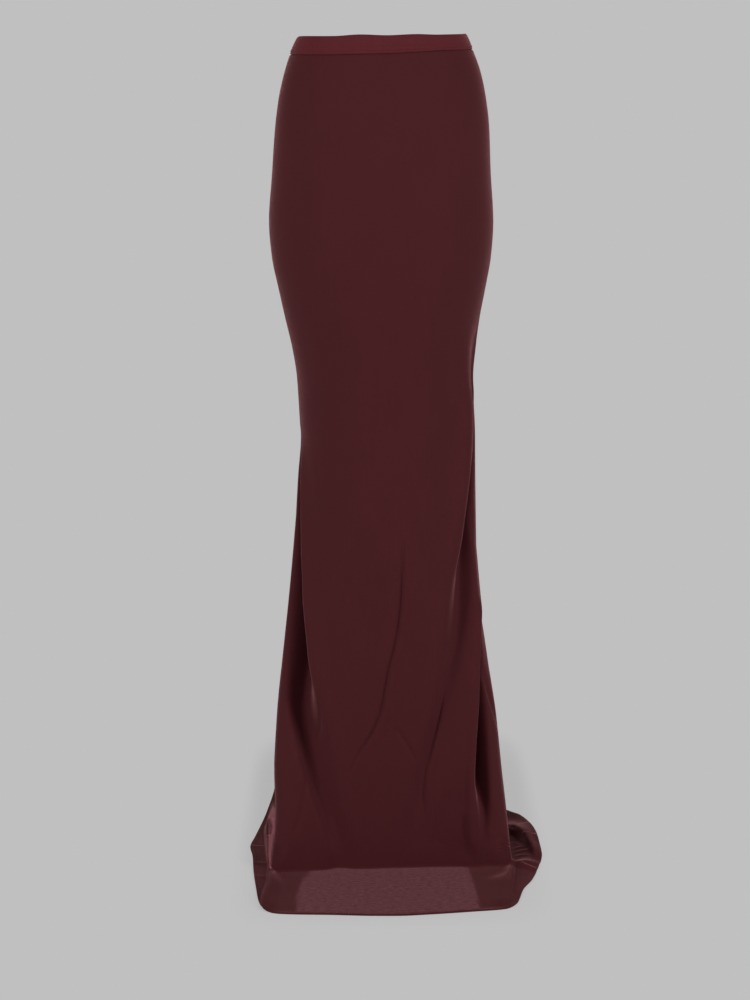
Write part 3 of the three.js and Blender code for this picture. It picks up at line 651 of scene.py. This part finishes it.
def fold_crowds():
    """Crowds that keep columns close together along the folds that ask for it."""
    crowds = []
    for fold in FOLDS + CREASES:
        if "crowd" in fold:
            run = [(row[0], row[1], *fold["crowd"]) for row in fold["run"]]
            top, foot = run[0], run[-1]
            above = (top[0] - CROWD_ABOVE, *top[1:3], 0)
            below = (max(foot[0], FLOOR_BEGINS) + CROWD_BELOW, *foot[1:3], 0)
            crowds.append([above] + run + [below])
    return crowds


def columns_at(downs, middle, half, crowds):
    """The columns' places in every row, closer together round each crowd's run."""
    fine = np.linspace(middle - half, middle + half, COLUMN_STEPS)
    density = np.ones((len(downs), len(fine)))
    for crowd in crowds:
        run = np.array(crowd + [(2.0, *crowd[-1][1:])])
        place, reach, times = (steady(run[:, 0], run[:, i], downs)[:, None] for i in (1, 2, 3))
        density += times * np.exp(-((signed_gap(fine, place) / reach) ** 2))
    step = (density[:, 1:] + density[:, :-1]) / 2
    total = np.concatenate([np.zeros((len(downs), 1)), np.cumsum(step, axis=1)], axis=1)
    return np.stack([np.interp(np.linspace(0, row[-1], COLUMNS), row, fine) for row in total])


def outward_normals(grid, is_ring=False):
    """The way out of a grid's face at each of its points. Rows run down and columns run around."""
    across = np.gradient(grid, axis=1)
    if is_ring:
        across = (np.roll(grid, -1, axis=1) - np.roll(grid, 1, axis=1)) / 2
    normals = np.cross(np.gradient(grid, axis=0), across)
    return normals / np.linalg.norm(normals, axis=-1, keepdims=True)


def cloth_wall(name, outer, inner, is_ring=False):
    """A closed wall between an outer grid and an inner one. A ring's last column meets its first."""
    rows, columns = outer.shape[:2]
    half = rows * columns
    steps = columns if is_ring else columns - 1
    row, column = np.meshgrid(np.arange(rows - 1), np.arange(steps), indexing="ij")
    beyond = (column + 1) % columns
    here, below = row * columns + column, (row + 1) * columns + column
    aside, cross = row * columns + beyond, (row + 1) * columns + beyond
    faces = [np.stack([here, below, cross, aside], -1).reshape(-1, 4)]
    faces.append(np.stack([here, aside, cross, below], -1).reshape(-1, 4) + half)
    c, d = np.arange(steps), (np.arange(steps) + 1) % columns
    foot = (rows - 1) * columns
    faces.append(np.stack([c + half, c, d, d + half], -1))
    faces.append(np.stack([c + foot, c + foot + half, d + foot + half, d + foot], -1))
    if not is_ring:
        r = np.arange(rows - 1) * columns
        s, end = r + columns, columns - 1
        faces.append(np.stack([r + half, s + half, s, r], -1))
        faces.append(np.stack([r + end, s + end, s + end + half, r + end + half], -1))
    faces = np.concatenate(faces)
    mesh = bpy.data.meshes.new(name)
    points = np.concatenate([outer.reshape(-1, 3), inner.reshape(-1, 3)])
    mesh.from_pydata(points.tolist(), [], faces.tolist())
    smooth = np.ones(len(faces), bool)
    if not is_ring:
        smooth[2 * (rows - 1) * steps:] = False
    mesh.polygons.foreach_set("use_smooth", smooth)
    piece = bpy.data.objects.new(name, mesh)
    bpy.context.scene.collection.objects.link(piece)
    return piece


def give_map(piece, places):
    """Says where each point lies on the flat cloth, in metres, for the knit to follow."""
    mesh = piece.data
    layer = mesh.uv_layers.new(name="flat_cloth")
    corner = np.empty(len(mesh.loops), int)
    mesh.loops.foreach_get("vertex_index", corner)
    both = np.concatenate([places.reshape(-1, 2)] * 2)
    layer.data.foreach_set("uv", both[corner].ravel().astype(np.float32))


def give_value(piece, name, values):
    """A number at each point, the same on both sides of the wall."""
    attribute = piece.data.attributes.new(name, "FLOAT", "POINT")
    attribute.data.foreach_set("value", np.concatenate([values.ravel()] * 2).astype(np.float32))


def painted_floor_light(points, stage):
    """How much painted light of the pale floor shows where one layer lies over it, and how bright it is
    painted.
    """
    x, y = points[..., 0], points[..., 1]
    shown, pale = np.zeros(x.shape), np.ones(x.shape)
    for layer in PAINTED_FLOOR_LIGHT_PATCHES:
        outline = np.array(layer["outline"])
        inside = np.full(x.shape, np.inf)
        for start, end in zip(outline, np.roll(outline, -1, axis=0)):
            step = end - start
            off = ((y - start[1]) * step[0] - (x - start[0]) * step[1]) / np.hypot(*step)
            inside = np.minimum(inside, off)
        within = gentle(inside / layer["edge"] + 0.5)
        shown = np.maximum(shown, layer["shows"] * within)
        pale = np.where(within > 0, layer["pale"], pale)
    return shown * gentle((stage - LAYERS_FROM) / (2 - LAYERS_FROM)), pale


def panel(name, middle, crowds):
    """One panel, from a side seam to the next, with half of each seam's gap left free."""
    half = 0.5 - SEAM_GAP / 2 / HALF_GIRTH
    tube = uneven(0, 1, TUBE_ROWS, TUBE_CROWDS)
    bend = 1 + np.arange(1, BEND_ROWS + 1) / BEND_ROWS
    floor = 2 + uneven(0, 1, FLOOR_ROWS + 1, FLOOR_CROWDS)[1:]
    stage = np.concatenate([tube, bend, floor])
    downs = WAIST_TO_FLOOR * np.minimum(stage, 1) + ON_FLOOR * np.clip(stage - 2, 0, 1)
    around_grid = columns_at(downs, middle, half, crowds + fold_crowds())
    stage_grid = np.broadcast_to(stage[:, None], around_grid.shape)
    outer = outer_face(around_grid, stage_grid)
    normals = outward_normals(outer)
    to_seam = (0.5 - np.abs(signed_gap(around_grid, middle))) * HALF_GIRTH
    to_band = -band_seam(wrapped(around_grid)) - outer[..., 2]
    groove = SEAM_GROOVE * (stage_grid <= 1.5) * np.exp(-((to_seam / SEAM_REACH) ** 2))
    groove += TUCKED_IN * (1 - gentle((to_band + BAND_SHADE) / TUCKED_IN)) * (stage_grid < 1)
    to_hem = np.linalg.norm(outer - outer[-1:], axis=-1)
    outer = outer - normals * groove[..., None]
    outer[..., 2] += HEM_EXTRA * gentle((HEM_TURNED - to_hem) / HEM_STEP)
    inner = outer - normals * CLOTH
    inner[..., 2] = np.maximum(inner[..., 2], -WAIST_TO_FLOOR)
    piece = cloth_wall(name, outer, inner)
    rows_apart = np.linalg.norm(np.diff(outer[:, COLUMNS // 2], axis=0), axis=-1)
    length = np.concatenate([[0], np.cumsum(rows_apart)])
    flat = np.stack([around_grid * HALF_GIRTH, np.broadcast_to(length[:, None], around_grid.shape)], -1)
    give_map(piece, flat)
    # Painted light: the pale floor's light shining through single layers, painted into the colour and
    # left off the turned hem
    shown, pale = painted_floor_light(outer, stage_grid)
    give_value(piece, "painted_floor_light", shown * gentle((to_hem - HEM_TURNED) / LAYER_FADES))
    give_value(piece, "to_hem", to_hem)
    give_value(piece, "pale", pale)
    return piece


# The camera stands where the photograph's stood: level with the waist, tilted down
CAMERA_PLACE = (-0.017, -2.70, -0.005)
CAMERA_TILT = 13.27
CAMERA_LEAN = 0.8
CAMERA_LENS = 70.2


def camera():
    data = bpy.data.cameras.new("camera")
    data.lens = CAMERA_LENS
    data.sensor_width = 36
    data.clip_start, data.clip_end = 0.05, 60
    eye = bpy.data.objects.new("camera", data)
    tilt = Matrix.Rotation(math.radians(90 - CAMERA_TILT), 4, "X")
    lean = Matrix.Rotation(math.radians(-CAMERA_LEAN), 4, "Z")
    eye.matrix_world = Matrix.Translation(CAMERA_PLACE) @ tilt @ lean
    bpy.context.scene.collection.objects.link(eye)
    bpy.context.scene.camera = eye


class Surface:
    """A value or colour that changes over a surface, which plain arithmetic works on."""

    def __init__(self, finish, socket):
        self.finish, self.socket = finish, socket

    def maths(self, operation, first, second):
        return self.finish.node("ShaderNodeMath", {"operation": operation}, {0: first, 1: second})

    def __add__(self, other):
        return self.maths("ADD", self, other)

    def __radd__(self, other):
        return self.maths("ADD", other, self)

    def __sub__(self, other):
        return self.maths("SUBTRACT", self, other)

    def __rsub__(self, other):
        return self.maths("SUBTRACT", other, self)

    def __mul__(self, other):
        return self.maths("MULTIPLY", self, other)

    def __rmul__(self, other):
        return self.maths("MULTIPLY", other, self)

    def __pow__(self, other):
        return self.maths("POWER", self, other)


class Finish:
    """A material, with one method that adds any node."""

    def __init__(self, name):
        self.material = bpy.data.materials.new(name)
        self.material.use_nodes = True
        self.tree = self.material.node_tree
        self.tree.nodes.clear()

    def node(self, kind, settings, sockets, output=0):
        """Adds a node: first its settings, then its sockets' values and links."""
        made = self.tree.nodes.new(kind)
        for key, value in settings.items():
            setattr(made, key, value)
        for key, value in sockets.items():
            if isinstance(value, Surface):
                self.tree.links.new(value.socket, made.inputs[key])
            else:
                is_colour = made.inputs[key].type == "RGBA"
                made.inputs[key].default_value = (*value, 1) if is_colour else value
        return Surface(self, made.outputs[output]) if len(made.outputs) else made

    def mixed(self, share, first, second):
        """first turning into second, both colours."""
        settings = {"data_type": "RGBA", "blend_type": "MIX", "clamp_factor": True}
        sockets = {"Factor": share, 6: first, 7: second}
        return self.node("ShaderNodeMix", settings, sockets, output=2)

    def tinted(self, colour, amount):
        """A colour made lighter or darker by a number that changes over the surface."""
        grey = self.node("ShaderNodeCombineXYZ", {}, {0: amount, 1: amount, 2: amount})
        return self.node("ShaderNodeVectorMath", {"operation": "MULTIPLY"}, {0: colour, 1: grey})

    def stretched(self, where, sizes):
        """Coordinates counted in the given sizes, in metres."""
        counts = (1 / sizes[0], 1 / sizes[1], 1)
        return self.node("ShaderNodeVectorMath", {"operation": "MULTIPLY"}, {0: where, 1: counts})

    def noise(self, flat, sizes, detail=3.0, roughness=0.6):
        """Uneven light and dark over the flat cloth, in specks of about these sizes."""
        where = self.stretched(flat, sizes)
        sockets = {"Vector": where, "Scale": 1.0, "Detail": detail, "Roughness": roughness}
        return self.node("ShaderNodeTexNoise", {}, sockets)

    def rows(self, where, direction, uneven=0.0):
        """Even rows, one to each step of the coordinates."""
        settings = {"wave_type": "BANDS", "bands_direction": direction}
        sockets = {"Vector": where, "Scale": ONE_ROW, "Distortion": uneven, "Detail": 0.0}
        return self.node("ShaderNodeTexWave", settings, sockets, output=1)

    def attribute(self, name):
        """A value that a mesh carries at its points."""
        return self.node("ShaderNodeAttribute", {"attribute_name": name}, {}, output=2)

    def eased(self, value, start, end, first=0.0, last=1.0):
        """A value turned into first at start and into last at end, smoothly."""
        sockets = {"Value": value, "From Min": start, "From Max": end, "To Min": first, "To Max": last}
        return self.node("ShaderNodeMapRange", {"interpolation_type": "SMOOTHSTEP"}, sockets)

    def hem_stitches(self, flat):
        """1 on the stitches of the turned hem, 0 elsewhere."""
        to_hem = self.attribute("to_hem")
        beside = to_hem.maths("ABSOLUTE", to_hem - STITCH_ROW, 0.0)
        row = self.eased(beside, *THREAD, first=1.0, last=0.0)
        turns = self.rows(self.stretched(flat, (STITCH, 1)), "X")
        return row * self.eased(turns, 0.15, 0.45)

    def output(self, shader):
        self.node("ShaderNodeOutputMaterial", {}, {"Surface": shader})
        return self.material


# Finishes, as linear colours
JERSEY = (0.0520, 0.0080, 0.0102)
# The colour of painted light: the pale floor's light shining through a single layer of the jersey
JERSEY_PAINTED_FLOOR_LIGHT = (0.118, 0.040, 0.047)
BAND_JERSEY = (0.0790, 0.0115, 0.0155)

# The knit's wales and courses, the hem's stitches with how far their row is from the edge and where
# a thread's half width begins and ends to fade, and the specks of the marl, the streaks, the clouds
# and the mottle of the painted light through a single layer: across and along the cloth
KNIT = (0.0009, 0.0007)
STITCH = 0.0028
STITCH_ROW = 0.0055
THREAD = (0.0003, 0.0007)
MARL = (0.0011, 0.0042)
STREAKS = (0.0030, 0.045)
CLOUDS = (0.060, 0.090)
MOTTLE = (0.0070, 0.0036)
ONE_ROW = 0.314


def wine_jersey(name, base, floor_light_colour=None):
    """Fine matt viscose jersey: knit wales and courses, a faint marl, and a short soft nap. The third
    argument is the colour of painted light, the pale floor's light shining through where one layer lies
    on it; without it, the cloth is the ribbed band's."""
    finish = Finish(name)
    flat = finish.node("ShaderNodeUVMap", {"uv_map": "flat_cloth"}, {})
    knit = finish.stretched(flat, KNIT)
    wales = finish.rows(knit, "X", uneven=0.6)
    courses = finish.rows(knit, "Y", uneven=0.8)
    marl = finish.noise(flat, MARL)
    streaks = finish.noise(flat, STREAKS)
    clouds = finish.noise(flat, CLOUDS, detail=2.0, roughness=0.5)
    colour = finish.tinted(base, 0.76 + 0.16 * marl + 0.20 * streaks + 0.12 * clouds)
    height = 0.5 * wales + 0.35 * courses + 0.8 * marl
    if floor_light_colour:
        # Painted light: the pale floor's light shining through a single layer, mottled and mixed into
        # the colour
        layer = finish.attribute("painted_floor_light")
        mottle = finish.noise(flat, MOTTLE, detail=4.0, roughness=0.75)
        through = finish.tinted(floor_light_colour, finish.attribute("pale") * (2.4 * mottle - 0.2))
        ragged = layer + 1.6 * layer * (1 - layer) * (mottle - 0.5)
        colour = finish.mixed(ragged, colour, through)
        stitches = finish.hem_stitches(flat)
        colour = finish.tinted(colour, 1 - 0.45 * stitches)
        height = height - 1.5 * stitches
    else:
        height = height + 0.9 * streaks
    bump = finish.node("ShaderNodeBump", {}, {"Strength": 0.35, "Distance": 0.0004, "Height": height})
    shader = finish.node("ShaderNodeBsdfPrincipled", {}, {
        "Base Color": colour,
        "Roughness": 0.74 + 0.14 * marl,
        "Specular IOR Level": 0.12,
        "Sheen Weight": 0.5,
        "Sheen Roughness": 0.275,
        "Sheen Tint": (1.0, 0.42, 0.44),
        "Normal": bump,
    })
    return finish.output(shader)


# The waistband's face. Ribs run lengthways from one share of its height to another, the cloth rolls
# out over the seam at ROLL and dips below it at DIP, each a share, its reach and how far.
RIBS = 46
RIB_HIGH = 0.0003
RIB_ENDS = ((0.4, 0.6), (0.70, 0.80))
ROLL = (0.80, 0.035, 0.0008)
DIP = (0.88, 0.025, -0.0005)
EDGE_ROUND = 0.0009
EDGE_REACH = 0.0011
BAND_WAVE = 0.00035


def waistband():
    """The folded band, with its rounded top edge, faint lengthways ribs and the rolled seam below."""
    share = uneven(0, 1, BAND_ROWS, [(0, 0.05, 2), (1, 0.05, 2)])
    around = np.arange(BAND_COLUMNS) * 2 / BAND_COLUMNS
    share_grid, around_grid = np.meshgrid(share, around, indexing="ij")
    down = band_seam(around_grid) * share_grid
    point = on_section(down, around_grid)
    out = out_of_section(down, around_grid)
    z = -down + band_edge(around_grid) * (1 - share_grid)
    proud = BAND_PROUD + BAND_ROLL * np.sin(math.pi * share_grid)
    (rise, full), (fall, none) = RIB_ENDS
    ribbed = gentle((share_grid - rise) / (full - rise)) * gentle((none - share_grid) / (none - fall))
    proud += RIB_HIGH * np.sin(share_grid * RIBS) * ribbed
    for place, reach, far in (ROLL, DIP):
        proud += far * np.exp(-(((share_grid - place) / reach) ** 2))
    to_edge = np.minimum(share_grid, 1 - share_grid) * BAND_HEIGHT
    proud -= EDGE_ROUND * np.exp(-((to_edge / EDGE_REACH) ** 2))
    proud += BAND_WAVE * np.sin(around_grid * 21) * np.sin(3 * share_grid + around_grid * 9)
    outside = point + out * proud[..., None]
    inside = point - out * BAND_BACK
    outer = np.concatenate([outside, z[..., None]], axis=-1)
    inner = np.concatenate([inside, z[..., None]], axis=-1)
    piece = cloth_wall("waistband_cloth", outer, inner, is_ring=True)
    give_map(piece, np.stack([around_grid * HALF_GIRTH, down], -1))
    return piece


# Greys of the backdrop as it is seen, of the light that it sheds, and of the floor, which fades into
# the backdrop over a box with round corners about the hem
BACKDROP = 0.527
FILL = 0.18
FLOOR_GREY = 0.62
FLOOR_RADIUS = 14
FLOOR_SIDES = 96
FLOOR_UNDER = 0.0002
FADE_MIDDLE = (0, 0.075, 0)
FADE_HALVES = (0.205, 0.345, 1)
FADE_ROUND = 8
FADE_ENDS = (0.96, 1.14)
FADE_LEAST = 0.65


def floor():
    """A plain pale floor that fades into the backdrop round the skirt."""
    mesh = bpy.data.meshes.new("floor")
    turns = [2 * math.pi * i / FLOOR_SIDES for i in range(FLOOR_SIDES)]
    edge = [(FLOOR_RADIUS * math.cos(a), FLOOR_RADIUS * math.sin(a), 0) for a in turns]
    mesh.from_pydata(edge, [], [list(range(FLOOR_SIDES))])
    ground = bpy.data.objects.new("floor", mesh)
    ground.location.z = -WAIST_TO_FLOOR - FLOOR_UNDER
    bpy.context.scene.collection.objects.link(ground)
    finish = Finish("pale_floor")
    where = finish.node("ShaderNodeTexCoord", {}, {}, output=3)
    beside = finish.node("ShaderNodeVectorMath", {"operation": "SUBTRACT"}, {0: where, 1: FADE_MIDDLE})
    shares = finish.node("ShaderNodeVectorMath", {"operation": "DIVIDE"}, {0: beside, 1: FADE_HALVES})
    size = finish.node("ShaderNodeVectorMath", {"operation": "ABSOLUTE"}, {0: shares})
    across, along = (finish.node("ShaderNodeSeparateXYZ", {}, {0: size}, output=i) for i in (0, 1))
    away_by = (across ** FADE_ROUND + along ** FADE_ROUND) ** (1 / FADE_ROUND)
    fade = finish.eased(away_by, *FADE_ENDS, first=FADE_LEAST)
    near = finish.node("ShaderNodeBsdfDiffuse", {}, {"Color": (FLOOR_GREY,) * 3})
    away = finish.node("ShaderNodeEmission", {}, {"Color": (BACKDROP,) * 3})
    both = finish.node("ShaderNodeMixShader", {}, {0: fade, 1: near, 2: away})
    mesh.materials.append(finish.output(both))


# Soft boxes: place, what they face, width and height, and power in watts
LIGHTS = [
    dict(name="left_box", place=(-2.6, -1.7, 0.3), size=(1.1, 2.2), power=56),
    dict(name="right_box", place=(2.6, -1.7, 0.3), size=(1.1, 2.2), power=62),
    dict(name="front_box", place=(0.0, -3.0, 1.9), size=(2.0, 1.0), power=37),
    dict(name="back_box", place=(0.0, 3.2, 1.6), size=(2.6, 1.4), power=24),
]
AIM = Vector((0, 0, -0.45))


def lights():
    for row in LIGHTS:
        data = bpy.data.lights.new(row["name"], "AREA")
        data.shape = "RECTANGLE"
        data.size, data.size_y = row["size"]
        data.energy = row["power"]
        lamp = bpy.data.objects.new(row["name"], data)
        lamp.location = row["place"]
        lamp.rotation_euler = (AIM - lamp.location).to_track_quat("-Z", "Y").to_euler()
        bpy.context.scene.collection.objects.link(lamp)
    world = bpy.data.worlds.new("studio")
    world.use_nodes = True
    tree = world.node_tree
    tree.nodes["Background"].inputs["Color"].default_value = (FILL,) * 3 + (1,)
    seen = tree.nodes.new("ShaderNodeBackground")
    seen.inputs["Color"].default_value = (BACKDROP,) * 3 + (1,)
    path = tree.nodes.new("ShaderNodeLightPath")
    both = tree.nodes.new("ShaderNodeMixShader")
    tree.links.new(path.outputs["Is Camera Ray"], both.inputs["Fac"])
    tree.links.new(tree.nodes["Background"].outputs[0], both.inputs[1])
    tree.links.new(seen.outputs[0], both.inputs[2])
    tree.links.new(both.outputs[0], tree.nodes["World Output"].inputs["Surface"])
    bpy.context.scene.world = world
    bpy.context.scene.view_settings.view_transform = "Standard"


camera()
floor()
lights()

panel_finish = wine_jersey("wine_jersey", JERSEY, JERSEY_PAINTED_FLOOR_LIGHT)
band_finish = wine_jersey("wine_jersey_band", BAND_JERSEY)

front = panel("front_panel_cloth", 0, FRONT_CROWDS)
back = panel("back_panel_cloth", 1, BACK_CROWDS)
band = waistband()
front.data.materials.append(panel_finish)
back.data.materials.append(panel_finish)
band.data.materials.append(band_finish)

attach(front, "root")
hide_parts("front_panel")

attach(back, "root")
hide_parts("back_panel")

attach(band, "root")
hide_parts("waistband")
